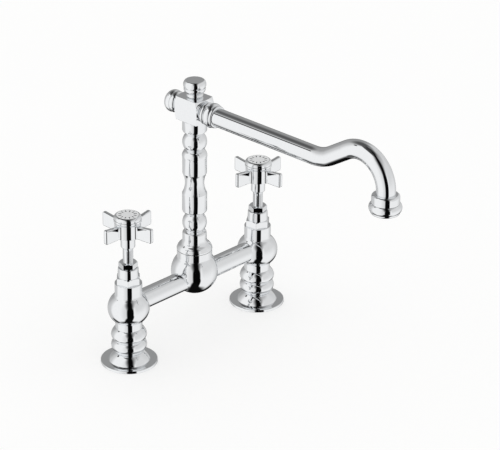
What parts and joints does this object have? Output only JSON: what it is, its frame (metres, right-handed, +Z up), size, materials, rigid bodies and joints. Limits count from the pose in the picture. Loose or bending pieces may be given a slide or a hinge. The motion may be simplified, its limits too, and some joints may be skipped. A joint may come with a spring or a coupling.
{
  "type": "basin mixer tap",
  "caption": "Deck-mounted bridge mixer tap in mirror chrome: cross-handled pillars, a bridge, a turned column and a long swivel spout with a raised end.",
  "frame": {"origin": "on the deck, midway between the axes of the two pillars", "axes": "+X along the bridge from the hot to the cold pillar, the spout points to -Y, +Z up from the deck"},
  "size_m": [0.2704, 0.3214, 0.301],
  "materials": {
    "polished_chrome": "mirror polished chrome plate on brass",
    "black_rubber": "moulded EPDM",
    "fibre": "red-brown vulcanised fibre",
    "ceramic": "lapped alumina",
    "acetal": "natural acetal",
    "stainless_steel": "plain stainless steel",
    "aerator_plastic": "light grey moulded acetal"
  },
  "bodies": {
    "mixer_body": {"hot_base_flange": "polished_chrome", "hot_base_gasket": "black_rubber", "hot_leg": "polished_chrome", "hot_valve_body": "polished_chrome", "hot_bonnet": "polished_chrome", "hot_bonnet_gasket": "fibre", "hot_gland_nut": "polished_chrome", "hot_thrust_washer": "acetal", "hot_fixed_disc": "ceramic", "hot_seat_seal": "black_rubber", "cold_base_flange": "polished_chrome", "cold_base_gasket": "black_rubber", "cold_leg": "polished_chrome", "cold_valve_body": "polished_chrome", "cold_bonnet": "polished_chrome", "cold_bonnet_gasket": "fibre", "cold_gland_nut": "polished_chrome", "cold_thrust_washer": "acetal", "cold_fixed_disc": "ceramic", "cold_seat_seal": "black_rubber", "hot_bridge_tube": "polished_chrome", "cold_bridge_tube": "polished_chrome", "bridge_o_rings": "black_rubber", "centre_body": "polished_chrome", "bearing_ring": "acetal", "grub_screw": "stainless_steel"},
    "hot_handle": {"hot_spindle": "polished_chrome", "hot_stem_o_rings": "black_rubber", "hot_moving_disc": "ceramic", "hot_cross_handle": "polished_chrome", "hot_handle_screw": "stainless_steel", "hot_handle_cap": "polished_chrome"},
    "cold_handle": {"cold_spindle": "polished_chrome", "cold_stem_o_rings": "black_rubber", "cold_moving_disc": "ceramic", "cold_cross_handle": "polished_chrome", "cold_handle_screw": "stainless_steel", "cold_handle_cap": "polished_chrome"},
    "spout": {"column": "polished_chrome", "column_seal": "black_rubber", "tee_block": "polished_chrome", "top_finial": "polished_chrome", "rear_finial": "polished_chrome", "finial_washers": "black_rubber", "spout_collar": "polished_chrome", "spout_tube": "polished_chrome", "outlet_ring": "polished_chrome", "aerator_housing": "polished_chrome", "aerator_seal": "black_rubber", "aerator_insert": "aerator_plastic", "spigot_o_rings": "black_rubber"}
  },
  "joints": [
    {"name": "spout_swivel", "type": "hinge", "parent": "mixer_body", "child": "spout", "pos_m": [0, 0, 0.1006], "axis": [0, 0, 1], "continuous": true},
    {"name": "hot_handle_turn", "type": "hinge", "parent": "mixer_body", "child": "hot_handle", "pos_m": [-0.1, 0, 0.12], "axis": [0, 0, 1], "range_deg": [0, 90]},
    {"name": "cold_handle_turn", "type": "hinge", "parent": "mixer_body", "child": "cold_handle", "pos_m": [0.1, 0, 0.12], "axis": [0, 0, 1], "range_deg": [-90, 0]}
  ]
}
